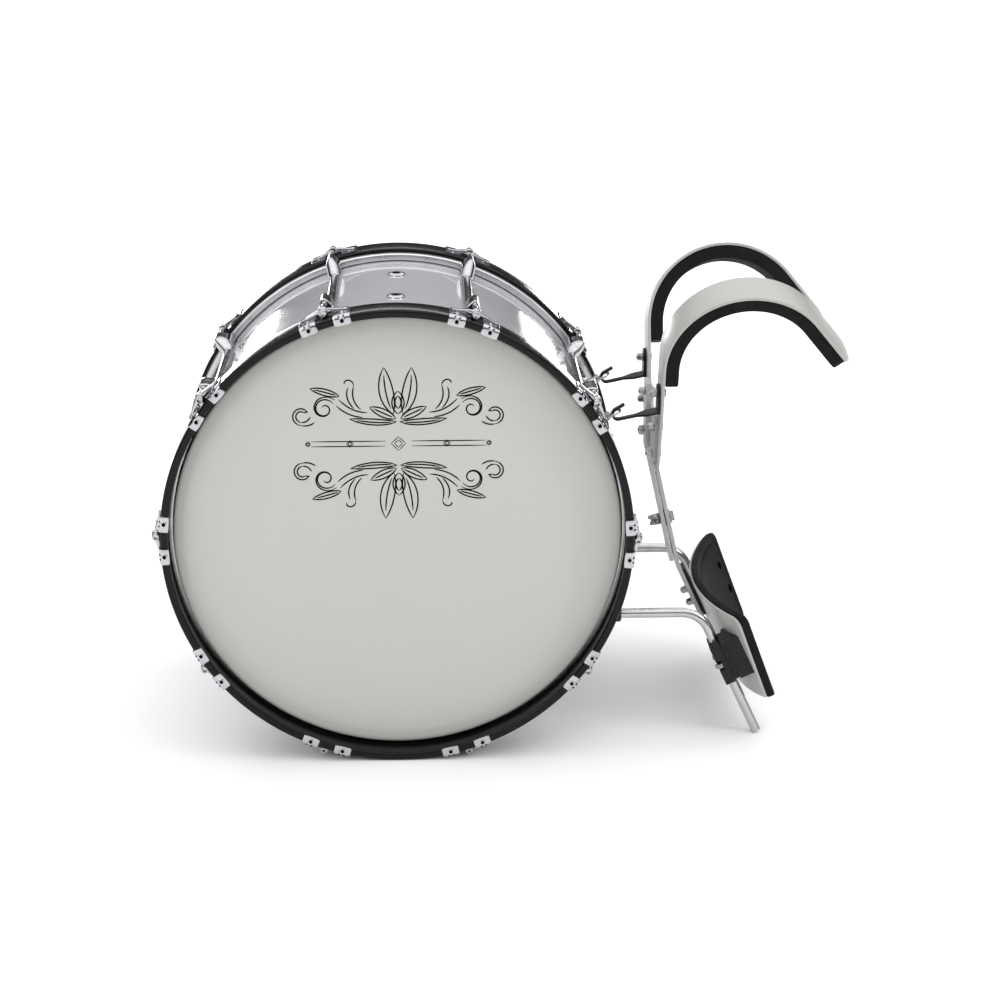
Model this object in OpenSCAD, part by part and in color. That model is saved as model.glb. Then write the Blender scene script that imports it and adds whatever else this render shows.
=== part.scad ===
// Marching bass drum, 22 x 14 inch, standing on its hoops with its shoulder
// carrier hooked on. +Z is up, the drum's axis runs along Y, and +X points
// towards the player. The player's left hand side is -Y. Units are millimetres.
// The origin is on the floor, under the middle of the whole assembly.

/* [Shell] */
// Outer diameter of the shell
shell_d = 559; // [540:1:580]
// Length of the shell along its axis, between the bearing edges
shell_len = 355.6; // [340:0.2:380]
// Wall thickness of the shell
shell_t = 7.5; // [6:0.5:9]

/* [Hoops and heads] */
// How far the counterhoop stands out from the shell
hoop_rise = 15; // [14:0.5:17]
// Wall thickness of the counterhoop
hoop_t = 10; // [9:0.5:10.5]
// Width of the counterhoop along the drum's axis
hoop_w = 44; // [40:1:46]
// How far the hoop's face stands in front of the head
head_recess = 29.7; // [26:0.1:32]
// Width of the metal flesh hoop of each head
flesh_w = 13; // [10:1:14]
// Thickness of the drum head
head_t = 0.8; // [0.8:0.1:1.2]

/* [Tension hardware] */
// Number of lugs around the shell
lug_n = 10; // [10:1:10]
// Angle of the first lug, from +X towards +Z
lug_start = -1.1; // [-1.5:0.1:-0.5]
// Radius of the circle of tension rods
rod_circle_r = 300.5; // [300:0.1:300.9]
// Diameter of the threaded end of a tension rod
rod_d = 6; // [5:0.5:6.5]

/* [Carrier] */
// Outer radius of a shoulder arch
arch_r = 107; // [100:1:110]
// Width of a shoulder arch
arch_w = 52; // [44:1:56]
// Sideways tilt of each shoulder arch
arch_tilt = 18; // [15:1:20]
// Thickness of the carrier's arches and of its cross plate
plate_t = 4; // [3.5:0.5:4]
// Thickness of the two spine bars
spine_t = 5.5; // [5:0.5:6]
// Thickness of the shoulder pads' foam
foam_t = 17; // [14:1:18]
// Thickness of the belly pad's foam
belly_foam_t = 10; // [8:1:12]
// Slope of the spine bars from the vertical
spine_tilt = 12.8; // [12:0.1:13.5]
// Slope of the belly plate and of the support rods from the vertical
belly_tilt = 25; // [24:0.5:26]
// Half the width of the belly plate, at its top
belly_half = 170; // [162:1:172]
// Diameter of the support rods
support_d = 12.7; // [12:0.1:13]
// Distance of each support rod from the middle of the drum
support_y = 130; // [126:1:132]
// Distance of each hook from the middle of the drum
hook_y = 94; // [90:1:97]

/* [Hidden] */
$fn = 96;

shell_r = shell_d / 2;
hoop_r = shell_r + hoop_rise;
hoop_face = shell_len / 2 + head_recess;
hoop_back = hoop_face - hoop_w;
fit_gap = 0.3;
running_gap = 0.06;
round_r = 3;

// Tension hardware
lug_step = 360 / lug_n;
claw_half_deg = 2.05;
claw_pitch_deg = 4.2;
claw_t = 2;
claw_back = hoop_face - 38;
yoke_face = hoop_face - 21.5;
yoke_w = 10;
yoke_t = 3;
boss_r = 6.4;
head_r = 5.9;
head_len = 10;
lug_face = 138;
lug_tower = 34;
lug_half_w = 9.5;
lug_top_r = 306.8;
rod_end = 110;
screw_r = 2.5;
screw_y = 118;
vent_y = 66;
vent_bore_r = 4.8;
vent_neck_r = 7;

// Carrier, with x and z taken from the drum's axis
arch_x = 441;
arch_peak_z = 311;
arch_inner_y = 110;
arch_c_z = arch_peak_z - arch_r * cos(arch_tilt);
arch_c_y = arch_inner_y - arch_r * sin(arch_tilt);
arch_end_deg = 38;
arch_leg = 166;
arch_rear = 72;
pad_leg = 23;
pad_inset = 1.5;
seam = 0.5;
step = 0.1;
leg_face_x = arch_x - arch_r;
cross_x = leg_face_x - plate_t;
spine_w = 34;
spine_top_z = 150;
spine_bolt_z = [spine_top_z - 14, 84];
spine_bend = [cross_x - spine_t, 62];
spine_len = 162;
spine_gap = 1.3;
slot_w = 8.9;
bolt_d = 8;
lock_s = 105;
lower_top_s = 6;
lower_bend_s = 172;
lower_tail = 84;
lower_x = spine_t + spine_gap;
travel = 20;
belly_r = 410;
belly_low_half = belly_half - 20;
belly_s = [30, 167];
belly_crown = [10, 4];
belly_corner = 12;
belly_low_corner = 4;
belly_t = 3;
spacer_t = 4.5;
belly_x = spine_t + spacer_t;
belly_bolt_s = [40, 59];
clamp_z = -192;
clamp_len = 56;
clamp_w = 38;
clamp_split = 5;
clamp_bolt_y = 15;
clamp_fix_v = [-19, 19];
clamp_fix_y = 12;
arm_z = -126.3;
bend_r = 40;
tip_r = 11;
tip_len = 30;
tip_gap = 1;

// Eye rings and hooks
eye_deg = 25.6;
ring_r = 9;
ring_wire = 1.6;
ring_c_r = shell_r + 26;
eye_r = ring_c_r - ring_r;
hook_c = [281, 131];
hook_r = 7;
hook_t = 3;
hook_w = 8;
hook_start_deg = -78;
hook_end_deg = 120;
hook_bolt_z = 158;

// Outline helpers
support_r = support_d / 2;
support_end_z = support_r * sin(belly_tilt) - hoop_r;
support_elbow_x = 389;
support_end_x = support_elbow_x + (arm_z - support_end_z) * tan(belly_tilt);
bend_leg = bend_r * tan((90 - belly_tilt) / 2);
x_high = arch_x + arch_r * cos(arch_end_deg) + arch_rear * sin(arch_end_deg);
x_low = -rod_circle_r * cos(lug_start) - boss_r;
x_mid = (x_high + x_low) / 2;
clamp_reach = (clamp_z - support_end_z) / cos(belly_tilt);
// Distance of a support rod from the belly frame's zero, and of the plate's inner face from the rod
rod_n = (support_end_x - spine_bend[0]) * cos(belly_tilt) + (support_end_z - spine_bend[1]) * sin(belly_tilt)
    - lower_x * cos(belly_tilt - spine_tilt) - lower_bend_s * sin(spine_tilt - belly_tilt);
fix_head_x = belly_x + belly_r - sqrt(pow(belly_r - belly_t, 2) - pow(support_y + clamp_fix_y + 4.6, 2))
    - rod_n + 0.2;

// A leg's bolt centres: flat on the leg, and as Y and Z of the standing carrier.
function leg_point(p) = [arch_c_y + p[0] * cos(arch_tilt) + p[1] * sin(arch_tilt),
                         arch_c_z - p[0] * sin(arch_tilt) + p[1] * cos(arch_tilt)];
function leg_flat(q) = [(q[0] - arch_c_y) * cos(arch_tilt) - (q[1] - arch_c_z) * sin(arch_tilt),
                        (q[0] - arch_c_y) * sin(arch_tilt) + (q[1] - arch_c_z) * cos(arch_tilt)];
leg_bolts = [[20, -arch_leg + 22], [24, -arch_leg + 66]];
leg_yz = [for (p = leg_bolts) leg_point(p)];

// X and Z of a point n out from the upper spine's drum side and s down its slope,
// and of a point n out from the lower spine's tail and s down the belly slope.
function spine_point(n, s) = [spine_bend[0] + n * cos(spine_tilt) + s * sin(spine_tilt),
                              spine_bend[1] + n * sin(spine_tilt) - s * cos(spine_tilt)];
function belly_point(n, s) = spine_point(lower_x, lower_bend_s)
    + [n * cos(belly_tilt) + s * sin(belly_tilt), n * sin(belly_tilt) - s * cos(belly_tilt)];

function lug_deg(i) = lug_start + (i - 1) * lug_step;

// Moves from the drum's axis to the floor origin.
module placed() {
    translate([-x_mid, 0, hoop_r]) children();
}

// side is -1 on the player's left, +1 on the right.
module on_side(side) {
    mirror([0, side < 0 ? 1 : 0, 0]) children();
}

// Turns a shape about the drum's axis, so that its +X points outwards there.
module at_angle(deg) {
    rotate([0, -deg, 0]) children();
}

module each_lug() {
    for (i = [1:lug_n]) at_angle(lug_deg(i)) children();
}

module y_cylinder(r, y0, y1) {
    translate([0, y0, 0]) rotate([-90, 0, 0]) cylinder(r = r, h = y1 - y0, $fn = r > 100 ? 360 : 48);
}

module x_cylinder(r, x0, x1) {
    translate([x0, 0, 0]) rotate([0, 90, 0]) cylinder(r = r, h = x1 - x0);
}

// Turns a profile drawn as [radius, y] about the drum's axis.
module turned() {
    rotate([-90, 0, 0]) rotate_extrude($fn = 360) children();
}

// Extrudes an outline drawn in X and Z along Y, from y0 to y1.
module along_y(y0, y1) {
    translate([0, y1, 0]) rotate([90, 0, 0]) linear_extrude(y1 - y0) children();
}

module rounded_box_2d(size, r) {
    translate([r, 0]) square([size[0] - 2 * r, size[1]]);
    translate([0, r]) square([size[0], size[1] - 2 * r]);
    for (x = [r, size[0] - r], y = [r, size[1] - r]) translate([x, y]) circle(r, $fn = 32);
}

module shell_solid_cut() {
    y_cylinder(shell_r, -shell_len, shell_len);
}

// ---------- Drum ----------

module shell() {
    edge = shell_t * 0.62;
    half = shell_len / 2;
    color([0.93, 0.93, 0.92]) placed() difference() {
        turned() polygon([
            [shell_r - shell_t, -half + edge], [shell_r - 2, -half], [shell_r - 0.6, -half],
            [shell_r, -half + 0.6], [shell_r, half - 0.6], [shell_r - 0.6, half],
            [shell_r - 2, half], [shell_r - shell_t, half - edge]]);
        each_lug() for (y = [-screw_y, screw_y]) translate([0, y, 0])
            x_cylinder(screw_r + 0.4, shell_r - 2 * shell_t, shell_r + 1);
        for (y = [-vent_y, vent_y]) translate([0, y, 0]) at_angle(90)
            x_cylinder(vent_neck_r, shell_r - 2 * shell_t, shell_r + 1);
        for (y = [-hook_y, hook_y]) translate([0, y, 0]) at_angle(eye_deg)
            x_cylinder(4, shell_r - 2 * shell_t, shell_r + 1);
    }
}

module lug_tower_2d() {
    polygon([[shell_r - 3, -lug_half_w], [shell_r - 3, lug_half_w], [292, lug_half_w],
             [301, 7], [lug_top_r, 1.5], [lug_top_r, -1.5], [301, -7], [292, -lug_half_w]]);
}

module lug_bar_2d() {
    polygon([[shell_r - 3, -7], [shell_r - 3, 7], [284.5, 7], [289, 2.5], [289, -2.5], [284.5, -7]]);
}

module one_lug() {
    difference() {
        union() {
            for (s = [0, 1]) mirror([0, s, 0]) {
                along_y(lug_face - lug_tower, lug_face) lug_tower_2d();
                translate([0, 0, -2.5]) linear_extrude(5) polygon([
                    [286, lug_face - lug_tower - 26], [286, lug_face - lug_tower + 1],
                    [lug_top_r - 3, lug_face - lug_tower + 1], [lug_top_r - 4, lug_face - lug_tower]]);
            }
            along_y(-lug_face + 2, lug_face - 2) lug_bar_2d();
        }
        shell_solid_cut();
        for (s = [0, 1]) mirror([0, s, 0]) {
            translate([rod_circle_r, 0, 0]) y_cylinder(rod_d / 2 + running_gap, rod_end - 3, lug_face + 1);
            translate([0, screw_y, 0]) x_cylinder(screw_r, shell_r - 1, shell_r + 9);
        }
    }
}

module lugs() {
    color([0.82, 0.83, 0.85]) placed() each_lug() one_lug();
}

// Lug screws with their washers, and the nuts of the eye bolts, inside the shell.
module shell_fasteners() {
    inner = shell_r - shell_t;
    color([0.75, 0.76, 0.78]) placed() {
        each_lug() for (y = [-screw_y, screw_y]) translate([0, y, 0]) {
            x_cylinder(screw_r, inner - 2, shell_r + 8);
            x_cylinder(6, inner - 2.4, inner - 1.2);
            x_cylinder(4.5, inner - 5.6, inner - 2.4);
        }
        for (y = [-hook_y, hook_y]) translate([0, y, 0]) at_angle(eye_deg) difference() {
            x_cylinder(8, inner - 8, inner - 1.5, $fn = 6);
            x_cylinder(4, inner - 9, inner + 1);
        }
    }
}

module vent_grommets() {
    inner = shell_r - shell_t;
    color([0.82, 0.83, 0.85]) placed() for (y = [-vent_y, vent_y]) translate([0, y, 0]) at_angle(90)
        difference() {
            union() {
                x_cylinder(vent_neck_r, inner - 5, shell_r + 1);
                difference() {
                    translate([shell_r - 1, 0, 0]) rotate([0, 90, 0]) rotate_extrude() polygon([
                        [0, 0], [11.5, 0], [11.5, 2], [10, 3.4], [6.5, 3.8], [0, 3.8]]);
                    shell_solid_cut();
                }
                x_cylinder(10, inner - 4.5, inner - 1.2, $fn = 6);
            }
            x_cylinder(vent_bore_r, inner - 6, shell_r + 8);
        }
}

module eye_bolts() {
    inner = shell_r - shell_t;
    color([0.82, 0.83, 0.85]) placed() for (y = [-hook_y, hook_y]) translate([0, y, 0]) at_angle(eye_deg)
        difference() {
            union() {
                x_cylinder(4, inner - 10, eye_r);
                difference() {
                    translate([shell_r - 1, 0, 0]) rotate([0, 90, 0]) rotate_extrude() polygon([
                        [0, 0], [11, 0], [11, 2], [8, 5], [5, 6.5], [0, 6.5]]);
                    shell_solid_cut();
                }
                translate([eye_r, 0, 0]) y_cylinder(5.4, -2.6, 2.6);
            }
            translate([eye_r, 0, 0]) y_cylinder(ring_wire + 0.9, -4, 4);
        }
}

module eye_ring(side) {
    color([0.82, 0.83, 0.85]) placed() translate([0, side * hook_y, 0]) at_angle(eye_deg)
        translate([ring_c_r, 0, 0]) rotate_extrude() translate([ring_r, 0]) circle(ring_wire, $fn = 24);
}

module left_eye_ring() { eye_ring(-1); }
module right_eye_ring() { eye_ring(1); }

module drum_head(side) {
    half = shell_len / 2;
    color([0.95, 0.95, 0.93]) placed() on_side(side) turned() polygon([
        [0, half], [shell_r + 0.4, half], [shell_r + 0.4, hoop_back - flesh_w + 3],
        [shell_r + 0.4 + head_t, hoop_back - flesh_w + 3], [shell_r + 0.4 + head_t, half],
        [shell_r - 0.5, half + head_t], [0, half + head_t]]);
}

module left_head() { drum_head(-1); }
module right_head() { drum_head(1); }

module flesh_hoop(side) {
    inner = shell_r + 0.4 + head_t;
    color([0.78, 0.78, 0.79]) placed() on_side(side) turned() translate([inner, hoop_back - flesh_w])
        rounded_box_2d([hoop_r - 4.8 - inner, flesh_w], 2);
}

module left_flesh_hoop() { flesh_hoop(-1); }
module right_flesh_hoop() { flesh_hoop(1); }

module counterhoop(side) {
    color([0.05, 0.05, 0.05]) placed() on_side(side) turned()
        translate([hoop_r - hoop_t, hoop_back]) rounded_box_2d([hoop_t, hoop_w], round_r);
}

module left_counterhoop() { counterhoop(-1); }
module right_counterhoop() { counterhoop(1); }

module wedge(half_deg, r) {
    rotate([90, 0, 0]) linear_extrude(4 * hoop_r, center = true)
        polygon([[0, 0], [r, -r * tan(half_deg)], [r, r * tan(half_deg)]]);
}

// One chrome claw wrapped over the hoop's outer edge and face.
module one_claw() {
    mid_r = hoop_r - hoop_t / 2 + claw_t / 2;
    difference() {
        union() {
            intersection() {
                turned() union() {
                    translate([hoop_r, claw_back]) square([claw_t, hoop_face - claw_back]);
                    translate([hoop_r - hoop_t, hoop_face]) square([hoop_t + claw_t, claw_t]);
                    translate([hoop_r - round_r, hoop_face - round_r])
                        square([round_r + claw_t, round_r + claw_t]);
                }
                wedge(claw_half_deg, 2 * hoop_r);
            }
            translate([mid_r, 0, 0]) y_cylinder(5.6, hoop_face + claw_t - 0.5, hoop_face + claw_t + 1.2);
        }
        y_cylinder(hoop_r, 0, hoop_face);
        translate([mid_r, 0, 0]) y_cylinder(2.2, hoop_face + 0.6, hoop_face + 6);
        for (z = [-7.8, 7.8]) translate([mid_r, 0, z]) y_cylinder(1.1, hoop_face + 0.8, hoop_face + 6);
    }
}

module claws(side) {
    color([0.82, 0.83, 0.85]) placed() on_side(side)
        for (i = [1:lug_n], d = [-claw_pitch_deg, claw_pitch_deg]) at_angle(lug_deg(i) + d) one_claw();
}

module left_claws() { claws(-1); }
module right_claws() { claws(1); }

// Arched bridge that joins a pair of claws and carries the tension rod.
module one_yoke() {
    low_r = hoop_r + claw_t;
    difference() {
        union() {
            intersection() {
                turned() translate([low_r, yoke_face - yoke_w]) square([yoke_t, yoke_w]);
                wedge(claw_pitch_deg + claw_half_deg - 0.4, 2 * hoop_r);
            }
            translate([rod_circle_r, 0, 0]) y_cylinder(boss_r, yoke_face - yoke_w, yoke_face);
        }
        y_cylinder(hoop_r + fit_gap, 0, hoop_face + 1);
        translate([rod_circle_r, 0, 0]) y_cylinder(rod_d / 2 + fit_gap, 0, hoop_face + 1);
    }
}

module yokes(side) {
    color([0.82, 0.83, 0.85]) placed() on_side(side) each_lug() one_yoke();
}

module left_yokes() { yokes(-1); }
module right_yokes() { yokes(1); }

module tension_rod(side, i) {
    color([0.86, 0.87, 0.89]) placed() on_side(side) at_angle(lug_deg(i)) translate([rod_circle_r, 0, 0])
        difference() {
            union() {
                y_cylinder(rod_d / 2, rod_end, yoke_face + 1);
                y_cylinder(head_r, yoke_face, yoke_face + 1.6);
                y_cylinder(head_r - 0.8, yoke_face + 1.6, yoke_face + head_len);
            }
            translate([-2, yoke_face + head_len - 4, -2]) cube([4, 5, 4]);
        }
}

// ---------- Carrier ----------

module arch_band_2d(r_in, r_out) {
    intersection() {
        difference() {
            circle(r_out, $fn = 120);
            circle(r_in, $fn = 120);
        }
        polygon([[0, 0], [-3 * r_out, 0], [-3 * r_out, 3 * r_out], [3 * r_out, 3 * r_out],
                 3 * r_out * [cos(arch_end_deg), sin(arch_end_deg)]]);
    }
}

// Local frame of one arch: the arc's axis is Y, Y = 0 is the inner edge.
module arch_frame(side) {
    on_side(side) translate([arch_x, arch_c_y, arch_c_z]) rotate([-arch_tilt, 0, 0]) children();
}

// Flat outline of a leg: X runs across the arch, Y runs up.
module leg_2d() {
    difference() {
        union() {
            polygon([[step, seam], [step, 90 - arch_leg], [4, 12 - arch_leg], [8, 6 - arch_leg],
                     [15, 4 - arch_leg], [arch_w - 24, -arch_leg], [arch_w - 15, 3 - arch_leg],
                     [arch_w - 10, 12 - arch_leg], [arch_w - step, 90 - arch_leg], [arch_w - step, seam]]);
        }
        for (p = concat(leg_bolts, [leg_flat([hook_y, hook_bolt_z])]))
            translate(p) circle(bolt_d / 2 - 1 + fit_gap);
    }
}

module rear_2d(len, inset) {
    r = 14;
    translate([inset, -len + r]) square([arch_w - 2 * inset, len - r + seam]);
    translate([inset + r, -len]) square([arch_w - 2 * inset - 2 * r, r + 1]);
    for (x = [inset + r, arch_w - inset - r]) translate([x, -len + r]) circle(r);
}

// Stands a flat outline drawn as [across, up] on the YZ plane, thickness t towards +X.
module upright(t) {
    rotate([90, 0, 90]) linear_extrude(t) children();
}

module shoulder_arch(side) {
    color([0.85, 0.85, 0.84]) placed() arch_frame(side) {
        along_y(0, arch_w) arch_band_2d(arch_r - plate_t, arch_r);
        translate([step - arch_r, 0, 0]) upright(plate_t - 2 * step) leg_2d();
        rotate([0, -arch_end_deg, 0]) translate([arch_r - plate_t + step, 0, 0])
            upright(plate_t - 2 * step) rear_2d(arch_rear, step);
    }
}

module left_shoulder_arch() { shoulder_arch(-1); }
module right_shoulder_arch() { shoulder_arch(1); }

module shoulder_pad(side) {
    outer = arch_r - plate_t;
    color([0.08, 0.08, 0.08]) placed() arch_frame(side) {
        along_y(pad_inset, arch_w - pad_inset) arch_band_2d(outer - foam_t, outer);
        translate([step - outer, pad_inset + step, -pad_leg])
            cube([foam_t - 2 * step, arch_w - 2 * (pad_inset + step), pad_leg + seam]);
        rotate([0, -arch_end_deg, 0]) translate([outer - foam_t + step, 0, 0]) upright(foam_t - 2 * step)
            rear_2d(arch_rear - 1, pad_inset + step);
    }
}

module left_shoulder_pad() { shoulder_pad(-1); }
module right_shoulder_pad() { shoulder_pad(1); }

module cross_plate() {
    low = leg_yz[0];
    high = leg_yz[1];
    right_edge = [[spine_w / 2 + 6, spine_bend[1] + 3], [low[0] - 10, low[1] - 14],
                  [low[0] + 7, low[1] - 14], [low[0] + 14, low[1] - 7], [high[0] + 14, high[1] + 8],
                  [high[0] + 6, high[1] + 15], [spine_w / 2 + 5, high[1] + 15],
                  [spine_w / 2, high[1] + 20], [spine_w / 2, spine_top_z - 6]];
    color([0.85, 0.85, 0.84]) placed() translate([cross_x, 0, 0]) upright(plate_t) difference() {
        polygon(concat(right_edge, [for (i = [len(right_edge) - 1:-1:0]) [-right_edge[i][0], right_edge[i][1]]]));
        for (s = [-1, 1]) {
            translate([s * low[0], low[1]]) circle(bolt_d / 2 - 1 + fit_gap);
            translate([s * high[0], high[1]]) circle(bolt_d / 2 - 1 + fit_gap);
        }
        for (z = spine_bolt_z) translate([0, z]) circle(bolt_d / 2 - 1 + fit_gap);
    }
}

// Frame of the sloping spine: Z runs down the slope, X is its outward normal.
module spine_slope() {
    translate([spine_bend[0], 0, spine_bend[1]]) rotate([0, 180 - spine_tilt, 0]) mirror([1, 0, 0]) children();
}

module upper_spine() {
    color([0.85, 0.85, 0.84]) placed() difference() {
        along_y(-spine_w / 2, spine_w / 2) polygon([
            [spine_bend[0], spine_top_z], spine_point(0, 0), spine_point(0, spine_len),
            spine_point(spine_t, spine_len), spine_point(spine_t, spine_t * tan(spine_tilt / 2)),
            [spine_bend[0] + spine_t, spine_top_z]]);
        for (z = spine_bolt_z) translate([0, 0, z])
            x_cylinder(bolt_d / 2 - 1 + fit_gap, spine_bend[0] - 5, cross_x + 1);
        spine_slope() translate([0, 0, lock_s]) x_cylinder(bolt_d / 2 + fit_gap, -5, spine_t + 5);
    }
}

module spine_washer() {
    color([0.1, 0.1, 0.1]) placed() spine_slope() translate([spine_t, 0, lock_s]) difference() {
        x_cylinder(11, 0, spine_gap - fit_gap);
        x_cylinder(bolt_d / 2 + fit_gap, -1, spine_gap + 1);
    }
}

// Hexagon bolt along X: head on the player's side, nut on the drum's side.
module hex_bolt(r, x_nut, x_head, grip0, grip1) {
    x_cylinder(r, x_nut, grip1 + 1);
    x_cylinder(1.75 * r, grip1, x_head, $fn = 6);
    x_cylinder(2 * r, grip0 - 1.2, grip0);
    x_cylinder(1.75 * r, x_nut + 1.5, grip0 - 1.2, $fn = 6);
}

module carrier_bolts() {
    r = bolt_d / 2 - 1;
    bar_x = spine_bend[0];
    leg_back = leg_face_x + plate_t;
    color([0.6, 0.6, 0.62]) placed() {
        for (s = [-1, 1]) {
            for (p = leg_yz) translate([0, s * p[0], p[1]])
                hex_bolt(r, cross_x - 9, leg_back + 3.5, cross_x, leg_back);
            translate([0, s * hook_y, hook_bolt_z]) hex_bolt(r, leg_face_x - plate_t - 9,
                leg_back + 3.5, leg_face_x - plate_t, leg_back);
        }
        for (z = spine_bolt_z) translate([0, 0, z])
            hex_bolt(r, bar_x - 9, leg_face_x + 3.5, bar_x, leg_face_x);
        spine_slope() translate([0, 0, lock_s]) lock_bolt();
    }
}

// Bolt through the spine's slot, with a washer that spans the slot.
module lock_bolt() {
    slot_back = 2 * spine_t + spine_gap + fit_gap;
    x_cylinder(bolt_d / 2, -13, slot_back + 2);
    x_cylinder(9, slot_back, slot_back + 1.6);
    x_cylinder(7, slot_back + 1.6, slot_back + 6, $fn = 6);
}

module lock_wing_nut() {
    color([0.75, 0.75, 0.77]) placed() spine_slope() translate([0, 0, lock_s]) difference() {
        union() {
            x_cylinder(7.5, -9, -0.4);
            for (s = [0, 1]) mirror([0, s, 0]) translate([0, 0, -1.5]) linear_extrude(3) union() {
                polygon([[-3, 0], [-8, 0], [-13, 13], [-8, 16]]);
                translate([-11, 13]) circle(4.2);
            }
        }
        x_cylinder(bolt_d / 2 + fit_gap, -20, 5);
    }
}

// Steel hook: flat leg on the arch, sloping arm, open bend and upward tail.
module hook(side) {
    arm_start = hook_c + hook_r * [cos(hook_start_deg), sin(hook_start_deg)];
    arm_deg = hook_start_deg + 90;
    leg_x = leg_face_x - plate_t;
    arm_len = (leg_x + 1 - arm_start[0]) / cos(arm_deg);
    leg_z = arm_start[1] + arm_len * sin(arm_deg);
    tail = 12;
    color([0.06, 0.06, 0.06]) placed() translate([0, side * hook_y, 0]) difference() {
        union() {
            along_y(-hook_w / 2, hook_w / 2) translate(hook_c) difference() {
                circle(hook_r + hook_t / 2, $fn = 64);
                circle(hook_r - hook_t / 2, $fn = 64);
                polygon([[0, 0], 4 * hook_r * [cos(hook_start_deg), sin(hook_start_deg)],
                         [6 * hook_r, 0], [4 * hook_r, 6 * hook_r],
                         4 * hook_r * [cos(hook_end_deg), sin(hook_end_deg)]]);
            }
            along_y(step - hook_w / 2, hook_w / 2 - step) translate(hook_c) rotate(hook_end_deg - 90) {
                translate([-seam, hook_r - hook_t / 2 + step]) square([tail + seam, hook_t - 2 * step]);
                translate([tail, hook_r]) circle(hook_t / 2 - step, $fn = 32);
            }
            translate([arm_start[0], 0, arm_start[1]]) rotate([0, -arm_deg, 0])
                translate([0, 0, step - hook_t / 2]) linear_extrude(hook_t - 2 * step) polygon([
                    [-seam, step - hook_w / 2], [0.45 * arm_len, -hook_w / 2 - 0.5], [0.72 * arm_len, -12],
                    [arm_len + 2, -12], [arm_len + 2, 12], [0.72 * arm_len, 12],
                    [0.45 * arm_len, hook_w / 2 + 0.5], [-seam, hook_w / 2 - step]]);
            translate([leg_x, 0, 0]) upright(plate_t) union() {
                translate([-12.2, leg_z - 2]) square([24.4, hook_bolt_z - leg_z + 2]);
                translate([0, hook_bolt_z]) circle(12);
            }
        }
        translate([0, 0, hook_bolt_z]) x_cylinder(bolt_d / 2 - 1 + fit_gap, leg_x - 5, leg_x + 9);
    }
}

module left_hook() { hook(-1); }
module right_hook() { hook(1); }

// Frame of the lower spine's tail and of the belly plate: Z runs down the belly slope.
module belly_slope() {
    spine_slope() translate([lower_x, 0, lower_bend_s]) rotate([0, belly_tilt - spine_tilt, 0]) children();
}

// The slot lets the lower bar slide down from its highest place by the travel.
module lower_spine() {
    turn = belly_tilt - spine_tilt;
    color([0.85, 0.85, 0.84]) placed() difference() {
        along_y(-spine_w / 2, spine_w / 2) polygon([
            spine_point(lower_x, lower_top_s), spine_point(lower_x, lower_bend_s), belly_point(0, lower_tail),
            belly_point(spine_t, lower_tail), belly_point(spine_t, -spine_t * tan(turn / 2)),
            spine_point(lower_x + spine_t, lower_top_s)]);
        spine_slope() translate([lower_x - 1, 0, 0]) upright(spine_t + 2) {
            translate([-slot_w / 2, lock_s - travel]) square([slot_w, travel]);
            for (s = [lock_s - travel, lock_s]) translate([0, s]) circle(slot_w / 2);
        }
        belly_slope() for (z = belly_bolt_s) translate([0, 0, z])
            x_cylinder(bolt_d / 2 - 1 + fit_gap, -2, spine_t + 2);
    }
}

// Right half of the belly plate's outline: across, and down the belly slope.
function belly_edge(grow) =
    let (top = belly_half + grow - belly_corner, low = belly_low_half + grow - belly_low_corner)
    concat([for (i = [0:5]) [i / 6 * top, belly_s[0] - grow + belly_crown[0] * pow(i / 6, 2)]],
           [for (a = [90:-20:-10]) [top, belly_s[0] - grow + belly_crown[0] + belly_corner]
               + belly_corner * [cos(a), -sin(a)]],
           [for (a = [-10:-20:-90]) [low, belly_s[1] + grow - belly_low_corner]
               + belly_low_corner * [cos(a), -sin(a)]],
           [for (i = [5:-1:0]) [i / 6 * low, belly_s[1] + grow + belly_crown[1] * (1 - pow(i / 6, 2))]]);

// Tapered outline that trims the curved belly pieces, square to the belly slope.
module belly_trim(grow) {
    right = belly_edge(grow);
    belly_slope() translate([-60, 0, 0]) upright(260)
        polygon(concat(right, [for (i = [len(right) - 2:-1:1]) [-right[i][0], right[i][1]]]));
}

// Curved layer of the belly shell, between two depths behind its outer face.
module belly_layer(d0, d1, grow) {
    intersection() {
        belly_slope() translate([belly_x + belly_r, 0, 0]) difference() {
            cylinder(r = belly_r - d0, h = 200, $fn = 180);
            translate([0, 0, -1]) cylinder(r = belly_r - d1, h = 202, $fn = 180);
            translate([-belly_r / 2, -belly_r - 1, -1]) cube([2 * belly_r, 2 * belly_r + 2, 202]);
        }
        belly_trim(grow);
    }
}

module belly_holes(r_clamp, r_bolt) {
    belly_slope() for (z = belly_bolt_s) translate([0, 0, z]) x_cylinder(r_bolt, 0, 60);
    for (s = [-1, 1]) rod_frame(s) for (v = clamp_fix_v) translate([0, s * clamp_fix_y, v])
        x_cylinder(r_clamp, 10, 90);
}

module belly_plate() {
    color([0.85, 0.85, 0.84]) placed() difference() {
        belly_layer(0, belly_t, 0);
        belly_holes(bolt_d / 2 - 1.5 + fit_gap, bolt_d / 2 - 1 + fit_gap);
    }
}

module belly_pad() {
    color([0.08, 0.08, 0.08]) placed() difference() {
        belly_layer(belly_t, belly_t + belly_foam_t, 1.5);
        belly_holes(6, 8);
    }
}

module belly_spacer() {
    color([0.08, 0.08, 0.08]) placed() difference() {
        belly_slope() translate([spine_t, -14, 8]) cube([spacer_t - step, 28, 66]);
        belly_slope() for (z = belly_bolt_s) translate([0, 0, z])
            x_cylinder(bolt_d / 2 - 1 + fit_gap, 0, 20);
    }
}

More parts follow.
